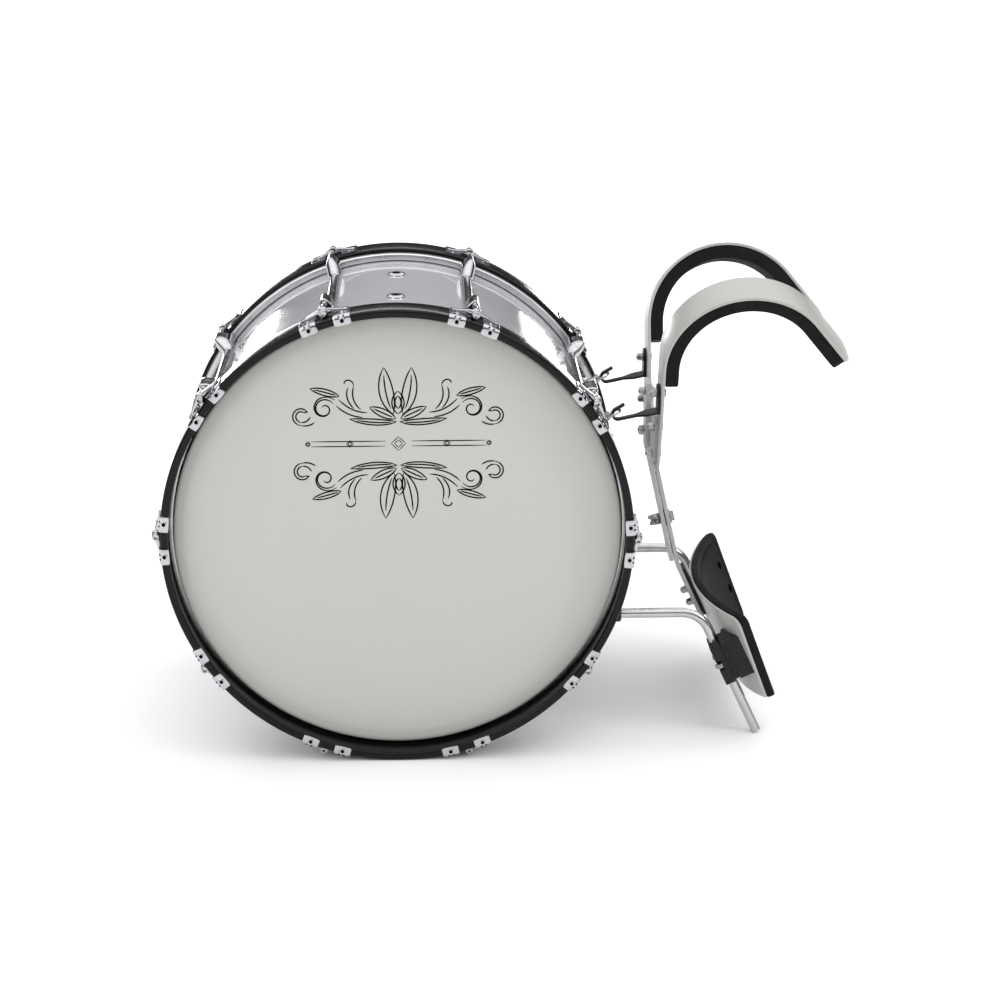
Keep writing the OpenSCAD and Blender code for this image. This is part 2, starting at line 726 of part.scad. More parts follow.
module belly_bolts() {
    r = bolt_d / 2 - 1;
    color([0.6, 0.6, 0.62]) placed() belly_slope() for (z = belly_bolt_s) translate([0, 0, z])
        hex_bolt(r, -9, belly_x + belly_t + 3.5, 0, belly_x + belly_t + 0.3);
}

// Frame of one support rod: Z runs down its sloping leg, X points at the belly plate.
module rod_frame(side) {
    translate([support_end_x, side * support_y, support_end_z]) rotate([0, 180 - belly_tilt, 0])
        mirror([1, 0, 0]) translate([0, 0, -clamp_reach]) children();
}

// The half between the rod and the belly plate; its back follows the plate.
module rod_clamp_blocks() {
    color([0.05, 0.05, 0.05]) placed() for (s = [-1, 1]) difference() {
        rod_frame(s) union() {
            translate([clamp_split + 0.4, -clamp_w / 2, step - clamp_len / 2])
                cube([10, clamp_w, clamp_len - 3 - 2 * step]);
            translate([clamp_split + 7, s * 2 - 22, -clamp_len / 2 - 3]) cube([33, 44, clamp_len]);
        }
        belly_slope() translate([belly_x + belly_r, 0, 0]) cylinder(r = belly_r, h = 250, $fn = 180);
        rod_frame(s) {
            cylinder(r = support_r + running_gap, h = 3 * clamp_len, center = true);
            for (y = [-clamp_bolt_y, clamp_bolt_y]) translate([0, y, 0])
                x_cylinder(bolt_d / 2 - 1 + fit_gap, -1, 16);
            for (z = clamp_fix_v) translate([0, s * clamp_fix_y, z])
                x_cylinder(bolt_d / 2 - 1.5 + fit_gap, 8, 60);
        }
    }
}

module rod_clamp_caps() {
    color([0.05, 0.05, 0.05]) placed() for (s = [-1, 1]) rod_frame(s) difference() {
        translate([-9, -clamp_w / 2, -clamp_len / 2]) cube([9 + clamp_split, clamp_w, clamp_len]);
        cylinder(r = support_r + running_gap, h = 3 * clamp_len, center = true);
        for (y = [-clamp_bolt_y, clamp_bolt_y]) translate([0, y, 0]) {
            x_cylinder(bolt_d / 2 - 1 + fit_gap, -20, 10);
            translate([-7, 2 * sign(y), 0]) cube([9, 14, 13], center = true);
        }
    }
}

// One bolt on each side of the rod, and two screws that hold the block on the plate.
module clamp_bolts() {
    r = bolt_d / 2 - 1;
    color([0.7, 0.7, 0.72]) placed() for (s = [-1, 1]) rod_frame(s) {
        for (y = [-clamp_bolt_y, clamp_bolt_y]) translate([0, y, 0]) {
            x_cylinder(r, -12, 14);
            x_cylinder(5.6, -8, -2.5, $fn = 6);
        }
        for (z = clamp_fix_v) translate([0, s * clamp_fix_y, z]) {
            x_cylinder(r - 0.5, 13, fix_head_x + 1);
            x_cylinder(4.6, fix_head_x, fix_head_x + 3);
        }
    }
}

module support_rod(side) {
    knee = 90 - belly_tilt;
    leg = (arm_z - support_end_z) / cos(belly_tilt) - bend_leg;
    color([0.8, 0.8, 0.8]) placed() translate([0, side * support_y, 0]) {
        translate([0, 0, arm_z]) x_cylinder(support_r, shell_r - 14, support_elbow_x - bend_leg + seam);
        translate([support_elbow_x - bend_leg, 0, arm_z - bend_r]) rotate([90, -belly_tilt, 0])
            rotate_extrude(angle = knee) translate([bend_r, 0]) circle(support_r - running_gap);
        translate([support_end_x, 0, support_end_z]) rotate([0, -belly_tilt, 0])
            cylinder(r = support_r, h = leg + seam);
    }
}

module left_support_rod() { support_rod(-1); }
module right_support_rod() { support_rod(1); }

module rod_tip(side) {
    touch_x = sqrt(pow(shell_r, 2) - pow(-arm_z - tip_r, 2)) + tip_gap;
    color([0.06, 0.06, 0.06]) placed() translate([touch_x, side * support_y, arm_z]) rotate([0, 90, 0])
        difference() {
            rotate_extrude() union() {
                square([tip_r - 4, 4.1]);
                translate([tip_r - 4, 4]) circle(4, $fn = 32);
                translate([0, 4]) square([tip_r, tip_len - 6]);
                polygon([[0, tip_len - 2.1], [tip_r, tip_len - 2.1], [tip_r - 1.5, tip_len], [0, tip_len]]);
            }
            translate([0, 0, shell_r - 14 - touch_x]) cylinder(r = support_r, h = 2 * tip_len);
        }
}

module left_rod_tip() { rod_tip(-1); }
module right_rod_tip() { rod_tip(1); }

shell();
lugs();
shell_fasteners();
vent_grommets();
eye_bolts();
left_eye_ring();
right_eye_ring();
left_head();
left_flesh_hoop();
left_counterhoop();
left_claws();
left_yokes();
right_head();
right_flesh_hoop();
right_counterhoop();
right_claws();
right_yokes();
tension_rod(-1, 1);  // left_tension_rod_1
tension_rod(-1, 2);  // left_tension_rod_2
tension_rod(-1, 3);  // left_tension_rod_3
tension_rod(-1, 4);  // left_tension_rod_4
tension_rod(-1, 5);  // left_tension_rod_5
tension_rod(-1, 6);  // left_tension_rod_6
tension_rod(-1, 7);  // left_tension_rod_7
tension_rod(-1, 8);  // left_tension_rod_8
tension_rod(-1, 9);  // left_tension_rod_9
tension_rod(-1, 10);  // left_tension_rod_10
tension_rod(1, 1);  // right_tension_rod_1
tension_rod(1, 2);  // right_tension_rod_2
tension_rod(1, 3);  // right_tension_rod_3
tension_rod(1, 4);  // right_tension_rod_4
tension_rod(1, 5);  // right_tension_rod_5
tension_rod(1, 6);  // right_tension_rod_6
tension_rod(1, 7);  // right_tension_rod_7
tension_rod(1, 8);  // right_tension_rod_8
tension_rod(1, 9);  // right_tension_rod_9
tension_rod(1, 10);  // right_tension_rod_10
left_shoulder_arch();
right_shoulder_arch();
left_shoulder_pad();
right_shoulder_pad();
cross_plate();
upper_spine();
spine_washer();
left_hook();
right_hook();
carrier_bolts();
lock_wing_nut();
lower_spine();
belly_plate();
belly_pad();
belly_spacer();
belly_bolts();
rod_clamp_blocks();
rod_clamp_caps();
clamp_bolts();
left_support_rod();
right_support_rod();
left_rod_tip();
right_rod_tip();
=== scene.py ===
import math

import bmesh
import bpy
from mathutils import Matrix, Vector


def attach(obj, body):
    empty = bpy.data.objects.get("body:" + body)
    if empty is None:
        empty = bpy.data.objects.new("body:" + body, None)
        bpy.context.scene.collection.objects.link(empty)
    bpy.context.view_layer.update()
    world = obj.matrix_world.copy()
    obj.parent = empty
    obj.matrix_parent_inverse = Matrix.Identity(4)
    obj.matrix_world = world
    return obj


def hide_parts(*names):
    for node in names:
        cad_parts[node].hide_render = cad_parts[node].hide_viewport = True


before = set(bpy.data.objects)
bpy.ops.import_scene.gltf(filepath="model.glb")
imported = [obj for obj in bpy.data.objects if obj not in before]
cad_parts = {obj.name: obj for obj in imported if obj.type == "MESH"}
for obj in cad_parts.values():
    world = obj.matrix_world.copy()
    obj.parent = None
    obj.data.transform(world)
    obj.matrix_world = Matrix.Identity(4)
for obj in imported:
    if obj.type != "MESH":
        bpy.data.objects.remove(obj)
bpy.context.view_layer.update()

# All shapes are drawn in millimetres from the drum's centre: X towards the player,
# Y along the drum's axis with the player's left at -Y, Z up.
MM = 0.001
X_MID, HOOP_R = 131.4, 294.5
SIDES = (("left", -1), ("right", 1))
HOOP_FACE, HOOP_BACK, HOOP_T = 207.5, 163.5, 10.0
FLESH_R, FLESH_Y, FLESH_T, FLESH_W = 285.2, 157.0, 9.0, 13.0
HEAD_Y = 178.6
ROD_R = 300.5
LUG_FACE = 138
CLAW_SPREAD_DEG, CLAW_HALF_W, CLAW_T = 4.2, 10.5, 1.75
YOKE_Y, YOKE_HALF_DEG = 181.2, 5.7
LUG_DEG = [-1.1 + 36 * i for i in range(10)]


def row(p):
    """A point drawn in millimetres from the drum's centre, in the row frame in metres."""
    return Vector(((p[0] - X_MID) * MM, p[1] * MM, (p[2] + HOOP_R) * MM))


# ---------- Materials ----------

class Nodes:
    """A small helper to build one node material."""

    def __init__(self, name):
        self.mat = bpy.data.materials.new(name)
        self.mat.use_nodes = True
        self.tree = self.mat.node_tree
        self.bsdf = self.tree.nodes["Principled BSDF"]
        self.place = self.tree.nodes.new("ShaderNodeTexCoord").outputs["Object"]

    def node(self, kind, **values):
        made = self.tree.nodes.new("ShaderNode" + kind)
        for key, value in values.items():
            if key in made.inputs:
                made.inputs[key].default_value = value
            else:
                setattr(made, key, value)
        return made

    def link(self, source, target):
        self.tree.links.new(source, target)

    def scaled(self, scale):
        """The place coordinates, stretched by three factors."""
        mapping = self.node("Mapping")
        mapping.inputs["Scale"].default_value = scale
        self.link(self.place, mapping.inputs["Vector"])
        return mapping.outputs["Vector"]

    def noise(self, scale, detail=4.0, rough=0.55, vector=None):
        made = self.node("TexNoise", Scale=scale, Detail=detail, Roughness=rough)
        self.link(vector or self.place, made.inputs["Vector"])
        return made.outputs["Fac"]

    def ramp(self, source, *stops):
        """Maps a value to colours: stops are (position, colour) in rising order."""
        made = self.node("ValToRGB")
        elements = made.color_ramp.elements
        while len(elements) < len(stops):
            elements.new(0.5)
        for element, (position, colour) in zip(elements, stops):
            element.position = position
            element.color = (*colour, 1) if len(colour) == 3 else colour
        self.link(source, made.inputs["Fac"])
        return made.outputs["Color"]

    def span(self, source, low, high, start=0.0, end=1.0):
        """Maps start..end of a value to low..high."""
        made = self.node("MapRange")
        for key, value in (("From Min", start), ("From Max", end), ("To Min", low), ("To Max", high)):
            made.inputs[key].default_value = value
        self.link(source, made.inputs["Value"])
        return made.outputs["Result"]

    def mix(self, fac, a, b):
        """Mixes two colours; each is a socket or a colour."""
        made = self.node("Mix", data_type="RGBA")
        for key, value in ((0, fac), (6, a), (7, b)):
            if hasattr(value, "is_linked"):
                self.link(value, made.inputs[key])
            else:
                made.inputs[key].default_value = (*value, 1) if isinstance(value, tuple) else value
        return made.outputs[2]

    def add(self, a, b, factor=1.0):
        """a + b * factor, both values."""
        made = self.node("Math", operation="MULTIPLY_ADD")
        self.link(b, made.inputs[0])
        made.inputs[1].default_value = factor
        self.link(a, made.inputs[2])
        return made.outputs[0]

    def bump(self, height, strength, distance):
        made = self.node("Bump", Strength=strength, Distance=distance)
        self.link(height, made.inputs["Height"])
        self.link(made.outputs["Normal"], self.bsdf.inputs["Normal"])

    def set(self, **values):
        for key, value in values.items():
            socket = self.bsdf.inputs[key.replace("_", " ")]
            if hasattr(value, "is_linked"):
                self.link(value, socket)
            else:
                socket.default_value = (*value, 1) if isinstance(value, tuple) else value
        return self


def lacquer(name, colour, tint, rough, coat=1.0, peel=0.05, shine=0.5):
    """Polished lacquer: faint orange peel, dust-fine speckle and uneven gloss."""
    n = Nodes(name)
    n.set(Base_Color=n.ramp(n.noise(9.0, 3.0), (0.3, colour), (0.75, tint)),
          Roughness=n.span(n.noise(38.0, 6.0, 0.7), rough, rough + 0.10, 0.35, 0.8),
          Coat_Weight=coat, Coat_Roughness=0.04, Specular_IOR_Level=shine)
    n.bump(n.add(n.noise(340.0, 2.0), n.noise(2400.0, 2.0), 0.25), peel, 0.0004)
    return n.mat


def chrome(name, rough=0.07):
    """Plated metal with a faint haze and fine wipe marks."""
    n = Nodes(name)
    colour, grime = (0.50, 0.505, 0.52), (0.36, 0.36, 0.37)
    marks = n.noise(1.0, 5.0, 0.6, n.scaled((900.0, 160.0, 900.0)))
    haze = n.noise(60.0, 5.0, 0.65)
    n.set(Base_Color=n.ramp(haze, (0.28, grime), (0.46, colour), (1.0, colour)), Metallic=1.0,
          Roughness=n.span(n.add(haze, marks, 0.5), rough, rough + 0.16, 0.5, 1.15))
    n.bump(marks, 0.04, 0.0003)
    return n.mat


def coated_film():
    """Sprayed white head: fine grit, soft blotches, and painted shade that greys the colour towards the rim,
    next to the hoop.
    """
    n = Nodes("coated_film")
    grit = n.noise(1500.0, 3.0, 0.7)
    cloud = n.noise(7.0, 4.0, 0.6)
    centre = n.node("VectorMath", operation="MULTIPLY_ADD")
    n.link(n.place, centre.inputs[0])
    centre.inputs[1].default_value = (1, 0, 1)
    centre.inputs[2].default_value = (X_MID * MM, 0, -HOOP_R * MM)
    away = n.node("VectorMath", operation="LENGTH")
    n.link(centre.outputs["Vector"], away.inputs[0])
    # Colour by distance from the middle: slightly lighter out to 267 mm, then darker up to the rim at 280 mm;
    # the darkening is painted shade from the hoop.
    rim_shade_ramp = n.ramp(n.span(away.outputs["Value"], 0.0, 1.0, 0.0, 0.28), (0.0, (0.535, 0.540, 0.500)),
                 (0.80, (0.545, 0.550, 0.510)), (0.955, (0.56, 0.565, 0.525)), (1.0, (0.47, 0.47, 0.44)))
    base = n.mix(n.span(cloud, 0.0, 0.10, 0.35, 0.8), rim_shade_ramp, (0.49, 0.49, 0.455))
    base = n.mix(n.span(grit, 0.0, 0.14, 0.45, 0.75), base, (0.66, 0.66, 0.62))
    n.set(Base_Color=base, Roughness=n.span(grit, 0.52, 0.72), Specular_IOR_Level=0.35)
    n.bump(grit, 0.16, 0.0002)
    return n.mat


def foam():
    """Closed-cell foam: pores, a dusty sheen and pressed scuffs."""
    n = Nodes("closed_cell_foam")
    pores = n.node("TexVoronoi", Scale=720.0)
    n.link(n.place, pores.inputs["Vector"])
    cell = pores.outputs["Distance"]
    scuff = n.noise(42.0, 5.0, 0.65)
    base = n.ramp(scuff, (0.30, (0.006, 0.006, 0.0065)), (0.62, (0.010, 0.010, 0.0105)),
                  (0.9, (0.022, 0.022, 0.023)))
    n.set(Base_Color=base, Roughness=n.span(scuff, 0.92, 0.74), Specular_IOR_Level=0.12,
          Sheen_Weight=0.02, Sheen_Roughness=0.6)
    n.bump(n.add(cell, scuff, 1.6), 0.42, 0.0006)
    return n.mat


def powder_coat(name, colour, tint, worn, rough=0.38, coat=0.25, shine=0.5):
    """Baked coating on aluminium: fine peel, slight shade changes and rubbed spots."""
    n = Nodes(name)
    wear = n.noise(26.0, 8.0, 0.72)
    base = n.ramp(n.noise(5.0, 3.0), (0.3, colour), (0.8, tint))
    base = n.mix(n.span(wear, 0.0, 0.55, 0.72, 0.80), base, worn)
    n.set(Base_Color=base, Roughness=n.span(wear, rough + 0.10, rough - 0.06, 0.3, 0.8),
          Coat_Weight=coat, Coat_Roughness=0.2, Specular_IOR_Level=shine)
    n.bump(n.add(n.noise(900.0, 3.0), n.noise(160.0, 3.0), 0.5), 0.10, 0.0004)
    return n.mat


def plain_metal(name, colour, dark, rough, grain):
    """Bare metal with drawn grain along one direction; grain stretches the marks."""
    n = Nodes(name)
    lines = n.noise(1.0, 6.0, 0.7, n.scaled(grain))
    stain = n.noise(48.0, 5.0, 0.6)
    n.set(Base_Color=n.ramp(n.add(lines, stain, 0.5), (0.35, dark), (0.75, colour)), Metallic=1.0,
          Roughness=n.span(lines, rough - 0.08, rough + 0.14, 0.25, 0.8))
    n.bump(lines, 0.12, 0.0003)
    return n.mat


def moulded(name, colour, rough=0.5, scale=1300.0, strength=0.2, shine=0.25):
    """Moulded black plastic or rubber: fine tool texture and dull rub marks."""
    n = Nodes(name)
    rub = n.noise(55.0, 6.0, 0.65)
    n.set(Base_Color=n.ramp(rub, (0.35, colour), (0.85, tuple(c * 2.2 + 0.004 for c in colour))),
          Roughness=n.span(rub, rough - 0.08, rough + 0.12, 0.3, 0.8), Specular_IOR_Level=shine)
    n.bump(n.noise(scale, 3.0), strength, 0.0003)
    return n.mat


def ink():
    """Printed black line: matt, with a slightly broken edge of pigment."""
    n = Nodes("printed_line")
    pigment = n.ramp(n.noise(900.0, 3.0), (0.35, (0.003, 0.003, 0.003)), (0.85, (0.010, 0.010, 0.010)))
    n.set(Base_Color=pigment, Roughness=0.6, Specular_IOR_Level=0.1)
    return n.mat


WHITE_SHELL = lacquer("white_lacquer", (0.60, 0.61, 0.635), (0.64, 0.65, 0.675), 0.10, peel=0.012)
BLACK_HOOP = lacquer("black_lacquer", (0.003, 0.003, 0.0035), (0.006, 0.006, 0.0065), 0.14, 0.22, 0.02, 0.08)
CHROME = chrome("chrome_plate")
ROD_CHROME = chrome("chrome_rod", 0.10)
# Near-black material for painted shade: it colours plugs and discs that stand for the shadowed insides of holes
# and wells, which are not cut.
RECESS_SHADE_PAINT = moulded("painted_recess_shade", (0.001, 0.001, 0.001), 0.8, shine=0.0)
FILM = coated_film()
FOAM = foam()
WHITE_COAT = powder_coat("white_powder_coat", (0.41, 0.41, 0.388), (0.46, 0.46, 0.438), (0.30, 0.30, 0.28))
BLACK_STEEL = powder_coat("black_coated_steel", (0.004, 0.004, 0.004), (0.008, 0.008, 0.008),
                          (0.02, 0.02, 0.02), 0.42, 0.08, 0.2)
BLACK_PLASTIC = moulded("black_plastic", (0.006, 0.006, 0.006), 0.42)
RUBBER = moulded("black_rubber", (0.012, 0.012, 0.012), 0.7, 800.0, 0.35)
ZINC = plain_metal("zinc_plate", (0.27, 0.27, 0.275), (0.07, 0.07, 0.072), 0.16, (160.0, 160.0, 160.0))
HOOP_ALLOY = plain_metal("flesh_hoop_alloy", (0.70, 0.70, 0.71), (0.52, 0.52, 0.53), 0.30,
                         (60.0, 2600.0, 60.0))
BARE_ALLOY = plain_metal("drawn_alloy", (0.52, 0.52, 0.525), (0.26, 0.26, 0.265), 0.20,
                         (90.0, 1900.0, 1900.0))
INK = ink()


# ---------- Mesh building ----------

def turn(p, deg):
    """Turns a point about the drum's axis, so that +X points outwards at that angle."""
    c, s = math.cos(math.radians(deg)), math.sin(math.radians(deg))
    return (p[0] * c - p[2] * s, p[1], p[0] * s + p[2] * c)


def on_side(p, side):
    """Mirrors a point to the side, -1 for left and 1 for right."""
    return (p[0], p[1] * side, p[2])


class Shape:
    """Collects closed surfaces in drum millimetres and makes one object of them."""

    def __init__(self):
        self.verts, self.faces = [], []

    def add(self, verts, faces, place=None):
        base = len(self.verts)
        self.verts += [place(v) for v in verts] if place else list(verts)
        self.faces += [[base + i for i in face] for face in faces]

    def loft(self, rings, place=None, closed=False, cap=None):
        """Skins rings of equal length; the ends are joined if closed, or else capped,
        by one face or by the faces in cap."""
        n, count = len(rings[0]), len(rings)
        verts = [p for ring in rings for p in ring]
        faces = []
        for i in range(count if closed else count - 1):
            a, b = i * n, ((i + 1) % count) * n
            faces += [[a + j, a + (j + 1) % n, b + (j + 1) % n, b + j] for j in range(n)]
        if not closed:
            for start in (0, (count - 1) * n):
                faces += [[start + j for j in face] for face in cap or [range(n)]]
        self.add(verts, faces, place)

    def lathe(self, profile, steps, place=None):
        """Turns a closed profile of (radius, y) about the drum's axis."""
        rings = []
        for i in range(steps):
            c, s = math.cos(2 * math.pi * i / steps), math.sin(2 * math.pi * i / steps)
            rings.append([(r * c, y, r * s) for r, y in profile])
        self.loft(rings, place, closed=True)

    def spin(self, stations, centre, axis, steps):
        """A solid of revolution about an axis through centre: stations are (along, radius)."""
        axis = Vector(axis).normalized()
        side = axis.orthogonal().normalized()
        other = axis.cross(side)
        rings = []
        for along, radius in stations:
            ring = []
            for i in range(steps):
                t = 2 * math.pi * i / steps
                out = (side * math.cos(t) + other * math.sin(t)) * radius
                ring.append(tuple(Vector(centre) + axis * along + out))
            rings.append(ring)
        self.loft(rings)

    def make(self, name, material, body, nodes=(), slot=None, sharp=35, bevel=0.0):
        """Makes the object: it rides a body, stands for CAD nodes and has edges over sharp degrees."""
        mesh = bpy.data.meshes.new(name)
        mesh.from_pydata([row(v) for v in self.verts], [], self.faces)
        work = bmesh.new()
        work.from_mesh(mesh)
        bmesh.ops.recalc_face_normals(work, faces=work.faces)
        work.to_mesh(mesh)
        work.free()
        mesh.polygons.foreach_set("use_smooth", [True] * len(mesh.polygons))
        mesh.set_sharp_from_angle(angle=math.radians(sharp))
        mesh.materials.append(material)
        piece = bpy.data.objects.new(name, mesh)
        bpy.context.scene.collection.objects.link(piece)
        if bevel:
            add_bevel(piece, bevel)
        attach(piece, body)
        if nodes:
            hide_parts(*nodes)
        return piece


def add_bevel(piece, width, angle=32):
    """Rounds the piece's sharp edges by a width in millimetres."""
    made = piece.modifiers.new("edge_round", "BEVEL")
    made.width = width * MM
    made.segments = 2
    made.limit_method = "ANGLE"
    made.angle_limit = math.radians(angle)
    made.harden_normals = True
    made.miter_outer = "MITER_ARC"
    return made


def rounded(half_w, half_t, radius, steps=4):
    """A rounded rectangle as (across, thick) offsets, counter-clockwise."""
    radius = min(radius, half_w * 0.999, half_t * 0.999)
    points = []
    for cx, cy, start in ((half_w - radius, half_t - radius, 0), (radius - half_w, half_t - radius, 90),
                          (radius - half_w, radius - half_t, 180), (half_w - radius, radius - half_t, 270)):
        for i in range(steps + 1):
            t = math.radians(start + 90 * i / steps)
            points.append((cx + radius * math.cos(t), cy + radius * math.sin(t)))
    return points


def smooth_step(t):
    """Eases from 0 to 1, flat at both ends."""
    t = min(max(t, 0.0), 1.0)
    return t * t * (3 - 2 * t)


def lerp(a, b, t):
    return a + (b - a) * t


# ---------- Drum body ----------

def lug_section(y):
    """One cross section of a lug: a low ridged bar that grows into a pointed tower."""
    a = abs(y)
    rise = smooth_step((a - 84) / 22)
    flare = smooth_step((a - 76) / 34)
    foot = 7.0 + 2.5 * flare
    end = 0.0 if a < 137 else (a - 137) * 1.1
    half = [(foot, 278.9), (foot, lerp(283.4, 291.5, rise)), (lerp(6.1, 8.3, rise), lerp(285.4, 297.0, rise)),
            (lerp(4.2, 5.6, rise), lerp(287.6, 302.3, rise)), (lerp(2.2, 2.6, rise), lerp(288.8, 305.8, rise)),
            (lerp(0.8, 0.9, rise), lerp(289.1, 306.7, rise))]
    half = [(z - end * (z > 1.0), r - end * (r > 280)) for z, r in half]
    return [(r, y, z) for z, r in half] + [(r, y, -z) for z, r in reversed(half)]


def build_lugs():
    lugs, inserts = Shape(), Shape()
    stations = [0, 20, 50, 70, 78, 82, 86, 90, 94, 98, 102, 106, 112, 124, 137, LUG_FACE]
    ys = [-y for y in reversed(stations[1:])] + stations
    for deg in LUG_DEG:
        lugs.loft([lug_section(y) for y in ys], place=lambda p, d=deg: turn(p, d))
        for k in (-1, 1):
            centre = turn((ROD_R, k * LUG_FACE, 0), deg)
            inserts.spin([(-0.5, 3.9), (0.9, 3.9), (1.3, 3.5), (1.3, 3.12), (-0.4, 3.12)],
                         centre, (0, k, 0), 28)
    lugs.make("lug_castings", CHROME, "drum", ["lugs"], "chrome", sharp=22, bevel=0.35)
    inserts.make("lug_rod_inserts", ZINC, "drum", slot="zinc_steel")


def build_flesh_hoops():
    for name, k in SIDES:
        ring = Shape()
        section = rounded(FLESH_T / 2, FLESH_W / 2, 2.0)
        ring.lathe([(FLESH_R + a, k * (FLESH_Y + b)) for a, b in section], 256)
        ring.make(f"{name}_flesh_hoop_ring", HOOP_ALLOY, f"{name}_hoop_set", [f"{name}_flesh_hoop"],
                  "flesh_hoop_metal")


def build_counterhoops():
    middle, half = (HOOP_FACE + HOOP_BACK) / 2, (HOOP_FACE - HOOP_BACK) / 2
    for name, k in SIDES:
        ring = Shape()
        section = rounded(HOOP_T / 2, half, 3.0, 6)
        ring.lathe([(HOOP_R - HOOP_T / 2 + a, k * (middle + b)) for a, b in section], 288)
        ring.make(f"{name}_counterhoop_ring", BLACK_HOOP, f"{name}_hoop_set", [f"{name}_counterhoop"],
                  "black_lacquer_hoop")


def build_heads():
    """Film with a moulded step near its edge and a collar that turns down over the shell."""
    outer = [(1.0, 178.6), (60.0, 178.6), (150.0, 178.6), (230.0, 178.6), (262.0, 178.6), (268.0, 178.55),
             (270.0, 178.35), (272.5, 178.35), (274.5, 178.55), (277.5, 178.5), (279.0, 178.2), (280.2, 177.2),
             (280.65, 175.6), (280.68, 166.0), (280.68, 153.6)]
    inner = [(279.95, 153.6), (279.95, 176.2), (279.2, 177.4), (277.0, 177.9), (262.0, 177.9), (150.0, 177.9),
             (1.0, 177.9)]
    steps = 256
    for name, k in SIDES:
        film = Shape()
        rings = [[(r * math.cos(2 * math.pi * i / steps), k * y, r * math.sin(2 * math.pi * i / steps))
                  for i in range(steps)] for r, y in outer + inner]
        film.loft(rings)
        film.make(f"{name}_head_film", FILM, f"{name}_hoop_set", [f"{name}_head"], "coated_head", sharp=50)


# ---------- Claws, yokes and rods ----------

def claw_skin(u, v, depth):
    """A point of a claw, depth under its outer face: u runs from the back edge round to the
    hoop's front, v runs across from -1 to 1."""
    path = [(296.5, 168.8), (296.5, 176.0), (296.5, 186.0), (296.5, 196.0), (296.5, 204.4), (296.1, 206.8),
            (294.9, 208.5), (293.0, 209.4), (290.5, 209.6), (287.0, 209.6), (283.4, 209.4)]
    normals = [(1, 0)] * 4 + [(0.98, 0.2), (0.86, 0.5), (0.6, 0.8), (0.25, 0.97), (0, 1), (0, 1), (-0.1, 0.99)]
    t = u * (len(path) - 1)
    i = min(int(t), len(path) - 2)
    f = t - i
    r, y = (lerp(path[i][j], path[i + 1][j], f) for j in (0, 1))
    nr, ny = (lerp(normals[i][j], normals[i + 1][j], f) for j in (0, 1))
    edge = abs(v) ** 6
    y += 3.6 * abs(v) ** 3 * max(0.0, 1 - 4 * u)
    r += 0.9 * abs(v) ** 4 * max(0.0, 8 * u - 7)
    drop = 0.55 * edge + depth
    return (r - nr * drop, y - ny * drop, v * CLAW_HALF_W)


def build_claws():
    across = [-1.0, -0.97, -0.85, -0.6, -0.3, 0.0, 0.3, 0.6, 0.85, 0.97, 1.0]
    along = [i / 22 for i in range(23)]
    for name, k in SIDES:
        caps, hole_shade_plugs = Shape(), Shape()
        for deg in LUG_DEG:
            for offset in (-CLAW_SPREAD_DEG, CLAW_SPREAD_DEG):
                def place(p, d=deg + offset, s=k):
                    return turn(on_side(p, s), d)
                rings = []
                for u in along:
                    top = [claw_skin(u, v, 0.0) for v in across]
                    low = [claw_skin(u, v, CLAW_T) for v in reversed(across)]
                    rings.append(top + low)
                caps.loft(rings, place)
                centre = place((289.6, 209.2, 0))
                axis = (0, k, 0)
                caps.spin([(-0.6, 4.4), (0.5, 4.2), (0.9, 3.6), (0.95, 3.0), (0.8, 2.5), (0.3, 2.2),
                           (-0.6, 2.1)], centre, axis, 28)
                # painted shade: a near-black plug fills the ring's hole, and two small dots stand for two more
                # holes, in place of their shadowed insides.
                hole_shade_plugs.spin([(-0.3, 2.2), (0.45, 2.2), (0.45, 0.2)], centre, axis, 20)
                for z in (-3.1, 3.1):
                    hole_shade_plugs.spin([(-0.4, 1.3), (0.5, 1.3), (0.5, 0.2)], place((294.7, 208.4, z)), (0.5, k, 0), 14)
                # rib on the outside of the hoop, as (y, half width, height)
                rib = []
                for y, w, h in ((172.5, 1.2, 0.1), (175.0, 2.6, 0.8), (186.0, 3.1, 1.1), (198.0, 3.1, 1.0),
                                (203.0, 2.4, 0.6), (205.5, 1.2, 0.1)):
                    rib.append([(296.3, y, -w), (296.4 + h, y, -w * 0.55), (296.5 + h, y, 0),
                                (296.4 + h, y, w * 0.55), (296.3, y, w)])
                caps.loft(rib, place)
        caps.make(f"{name}_claw_caps", CHROME, f"{name}_hoop_set", [f"{name}_claws"], "chrome", sharp=40)
        hole_shade_plugs.make(f"{name}_claw_hole_shade", RECESS_SHADE_PAINT, f"{name}_hoop_set", slot="black_plastic")


def build_yokes():
    """Arched bridges from claw to claw, with the boss that the tension rod hangs in."""
    for name, k in SIDES:
        yokes = Shape()
        for deg in LUG_DEG:
            rings = []
            for i in range(-12, 13):
                t = i / 12
                a = YOKE_HALF_DEG * t
                near = 1 - smooth_step(abs(t) * 1.15)
                wide = lerp(3.2, 4.7, near) + 0.9 * smooth_step((abs(t) - 0.8) * 5)
                low, high = 296.6, lerp(299.2, 304.0, near)
                rings.append([turn(((low + high) / 2 + b, k * (YOKE_Y + c), 0), a)
                              for c, b in rounded(wide, (high - low) / 2, 1.1, 3)])
            yokes.loft(rings, place=lambda p, d=deg: turn(p, d))
            centre = turn((ROD_R, 0, 0), deg)
            yokes.spin([(175.9, 5.2), (176.3, 5.9), (177.4, 6.35), (184.6, 6.35), (185.6, 6.0), (185.95, 5.4)],
                       centre, (0, k, 0), 36)
        yokes.make(f"{name}_yoke_bridges", CHROME, f"{name}_hoop_set", [f"{name}_yokes"], "chrome", sharp=40)


